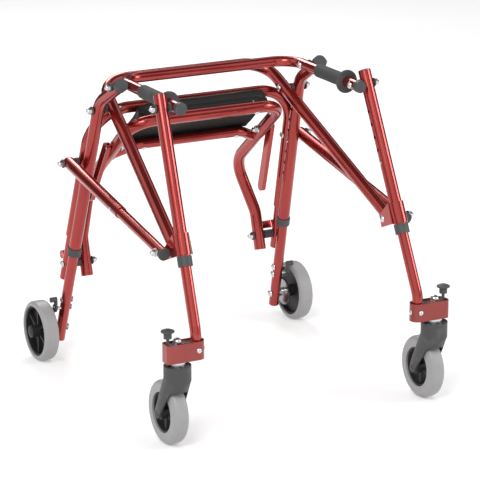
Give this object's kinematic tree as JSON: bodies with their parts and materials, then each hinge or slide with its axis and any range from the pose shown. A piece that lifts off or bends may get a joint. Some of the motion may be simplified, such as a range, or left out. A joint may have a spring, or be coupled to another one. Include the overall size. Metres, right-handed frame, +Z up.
{
  "type": "posterior walker",
  "caption": "Folding reverse walker of bent red tube with hand grips, swivelling front casters, ratchet rear wheels and a flip-down padded seat behind the user.",
  "frame": {"origin": "on the floor under the middle of the walker, half way between its front-most and rear-most points", "axes": "+Z up, +X to the right as seen from the front, +Y towards the closed rear end"},
  "size_m": [0.662, 0.707, 0.6591],
  "materials": {
    "red_paint": "metallic red gloss",
    "black_plastic": "satin",
    "grip_rubber": "matte",
    "steel": "zinc plated",
    "grey_tyre": "matte grey",
    "vinyl": "grained vinyl",
    "seat_board": "black covered board"
  },
  "bodies": {
    "rear_frame": {"rear_upper_legs": "red_paint", "rear_leg_caps": "black_plastic", "back_hoop": "red_paint", "rear_pivot_bolts": "steel", "rear_pivot_spacers": "black_plastic"},
    "handle": {"handle_bar": "red_paint", "handle_grips": "grip_rubber", "handle_plugs": "black_plastic"},
    "brace": {"brace_hoop": "red_paint", "brace_end_pins": "steel"},
    "front_legs": {"front_upper_legs": "red_paint", "leg_straps": "red_paint", "front_leg_collars": "black_plastic", "front_pivot_bolts": "steel", "front_pivot_spacers": "black_plastic"},
    "side_outer": {"side_brace_outer": "red_paint"},
    "side_inner": {"side_brace_inner": "red_paint", "side_brace_plugs": "black_plastic", "side_brace_nuts": "steel"},
    "seat_carrier": {"seat_posts": "red_paint", "seat_pivot_bolts": "steel", "seat_pivot_washers": "black_plastic"},
    "seat": {"seat_frame": "red_paint", "seat_board": "seat_board", "seat_cushion": "vinyl", "seat_fasteners": "steel"},
    "front_lower_left": {"front_lower_leg_left": "red_paint", "caster_strap_left": "red_paint", "caster_hardware_left": "steel"},
    "caster_left": {"caster_fork_left": "black_plastic"},
    "caster_wheel_left": {"caster_tyre_left": "grey_tyre", "caster_rim_left": "black_plastic"},
    "lock_left": {"lock_knob_left": "black_plastic"},
    "rear_lower_left": {"rear_lower_leg_left": "red_paint", "rear_axle_bolts_left": "steel"},
    "pawl_left": {"pawl_left": "black_plastic"},
    "rear_wheel_left": {"rear_tyre_left": "grey_tyre", "rear_hub_left": "black_plastic", "ratchet_ring_left": "steel"},
    "rear_button_left": {"rear_button_left": "steel"},
    "front_button_left": {"front_button_left": "steel"},
    "side_button_left": {"side_button_left": "steel"},
    "stay_left": {"stay_left": "red_paint"},
    "front_lower_right": {"front_lower_leg_right": "red_paint", "caster_strap_right": "red_paint", "caster_hardware_right": "steel"},
    "caster_right": {"caster_fork_right": "black_plastic"},
    "caster_wheel_right": {"caster_tyre_right": "grey_tyre", "caster_rim_right": "black_plastic"},
    "lock_right": {"lock_knob_right": "black_plastic"},
    "rear_lower_right": {"rear_lower_leg_right": "red_paint", "rear_axle_bolts_right": "steel"},
    "pawl_right": {"pawl_right": "black_plastic"},
    "rear_wheel_right": {"rear_tyre_right": "grey_tyre", "rear_hub_right": "black_plastic", "ratchet_ring_right": "steel"},
    "rear_button_right": {"rear_button_right": "steel"},
    "front_button_right": {"front_button_right": "steel"},
    "side_button_right": {"side_button_right": "steel"},
    "stay_right": {"stay_right": "red_paint"}
  },
  "joints": [
    {"name": "fold", "type": "hinge", "parent": "rear_frame", "child": "brace", "pos_m": [0, 0.13954, 0.565], "axis": [1, 0, 0], "range_deg": [0, 40], "deforming": ["side_button_left", "side_button_right"]},
    {"name": "handle_fold", "type": "hinge", "parent": "rear_frame", "child": "handle", "pos_m": [0, 0.058, 0.63], "axis": [1, 0, 0], "range_deg": [0, 59.2]},
    {"name": "front_leg_fold", "type": "hinge", "parent": "handle", "child": "front_legs", "pos_m": [0, -0.1497, 0.63], "axis": [1, 0, 0], "range_deg": [-34.6, 0]},
    {"name": "side_brace_fold", "type": "hinge", "parent": "rear_frame", "child": "side_outer", "pos_m": [0, 0.20143, 0.445], "axis": [1, 0, 0], "range_deg": [0, 39.9]},
    {"name": "side_brace_slide", "type": "slide", "parent": "side_outer", "child": "side_inner", "axis": [0, -0.9838, -0.1791], "range_m": [-0.0926, 0]},
    {"name": "front_height_left", "type": "slide", "parent": "front_legs", "child": "front_lower_left", "axis": [0.0415, 0.4032, 0.9142], "range_m": [0, 0.1056], "deforming": ["front_button_left"]},
    {"name": "rear_height_left", "type": "slide", "parent": "rear_frame", "child": "rear_lower_left", "axis": [0.0485, -0.287, 0.9567], "range_m": [-0.0792, 0.0792], "deforming": ["rear_button_left"]},
    {"name": "caster_swivel_left", "type": "hinge", "parent": "front_lower_left", "child": "caster_left", "pos_m": [-0.2875, -0.3265, 0.17], "axis": [0, 0, 1], "continuous": true},
    {"name": "caster_spin_left", "type": "hinge", "parent": "caster_left", "child": "caster_wheel_left", "pos_m": [-0.2875, -0.2865, 0.0635], "axis": [1, 0, 0], "continuous": true},
    {"name": "caster_lock_left", "type": "slide", "parent": "front_lower_left", "child": "lock_left", "axis": [0, 0, 1], "range_m": [-0.01, 0]},
    {"name": "rear_spin_left", "type": "hinge", "parent": "rear_lower_left", "child": "rear_wheel_left", "pos_m": [-0.304, 0.29, 0.0635], "axis": [1, 0, 0], "continuous": true},
    {"name": "pawl_left", "type": "hinge", "parent": "rear_lower_left", "child": "pawl_left", "pos_m": [-0.2776, 0.27545, 0.112], "axis": [1, 0, 0], "range_deg": [-6, 0]},
    {"name": "rear_button_press_left", "type": "slide", "parent": "rear_lower_left", "child": "rear_button_left", "axis": [-1, 0, 0], "range_m": [0, 0.004], "stiffness_N_per_m": 900},
    {"name": "front_button_press_left", "type": "slide", "parent": "front_lower_left", "child": "front_button_left", "axis": [-1, 0, 0], "range_m": [0, 0.004], "stiffness_N_per_m": 900},
    {"name": "side_button_press_left", "type": "slide", "parent": "side_inner", "child": "side_button_left", "axis": [1, 0, 0], "range_m": [0, 0.004], "stiffness_N_per_m": 900},
    {"name": "front_height_right", "type": "slide", "parent": "front_legs", "child": "front_lower_right", "axis": [-0.0415, 0.4032, 0.9142], "range_m": [0, 0.1056], "deforming": ["front_button_right"]},
    {"name": "rear_height_right", "type": "slide", "parent": "rear_frame", "child": "rear_lower_right", "axis": [-0.0485, -0.287, 0.9567], "range_m": [-0.0792, 0.0792], "deforming": ["rear_button_right"]},
    {"name": "caster_swivel_right", "type": "hinge", "parent": "front_lower_right", "child": "caster_right", "pos_m": [0.2875, -0.3265, 0.17], "axis": [0, 0, 1], "continuous": true},
    {"name": "caster_spin_right", "type": "hinge", "parent": "caster_right", "child": "caster_wheel_right", "pos_m": [0.2875, -0.2865, 0.0635], "axis": [1, 0, 0], "continuous": true},
    {"name": "caster_lock_right", "type": "slide", "parent": "front_lower_right", "child": "lock_right", "axis": [0, 0, 1], "range_m": [-0.01, 0]},
    {"name": "rear_spin_right", "type": "hinge", "parent": "rear_lower_right", "child": "rear_wheel_right", "pos_m": [0.304, 0.29, 0.0635], "axis": [1, 0, 0], "continuous": true},
    {"name": "pawl_right", "type": "hinge", "parent": "rear_lower_right", "child": "pawl_right", "pos_m": [0.2776, 0.27545, 0.112], "axis": [1, 0, 0], "range_deg": [-6, 0]},
    {"name": "rear_button_press_right", "type": "slide", "parent": "rear_lower_right", "child": "rear_button_right", "axis": [1, 0, 0], "range_m": [0, 0.004], "stiffness_N_per_m": 900},
    {"name": "front_button_press_right", "type": "slide", "parent": "front_lower_right", "child": "front_button_right", "axis": [1, 0, 0], "range_m": [0, 0.004], "stiffness_N_per_m": 900},
    {"name": "side_button_press_right", "type": "slide", "parent": "side_inner", "child": "side_button_right", "axis": [-1, 0, 0], "range_m": [0, 0.004], "stiffness_N_per_m": 900},
    {"name": "seat_height", "type": "slide", "parent": "rear_frame", "child": "seat_carrier", "axis": [0, -0.2874, 0.9578], "range_m": [-0.0127, 0]},
    {"name": "seat_flip", "type": "hinge", "parent": "seat_carrier", "child": "seat", "pos_m": [0, 0.27284, 0.207], "axis": [-1, 0, 0], "range_deg": [-38.5, 0]},
    {"name": "stay_swing_left", "type": "hinge", "parent": "seat", "child": "stay_left", "pos_m": [-0.1883, 0.19062, 0.4686], "axis": [1, 0, 0], "range_deg": [-71.3, 2.7]},
    {"name": "stay_swing_right", "type": "hinge", "parent": "seat", "child": "stay_right", "pos_m": [0.1883, 0.19062, 0.4686], "axis": [1, 0, 0], "range_deg": [-54, 20]}
  ],
  "couplings": [
    {"joint": "handle_fold", "follows": "fold", "ratio": 1.4783},
    {"joint": "front_leg_fold", "follows": "fold", "ratio": -0.8635},
    {"joint": "side_brace_fold", "follows": "fold", "ratio": 0.9964},
    {"joint": "side_brace_slide", "follows": "fold", "m_per_rad": -0.13248}
  ]
}
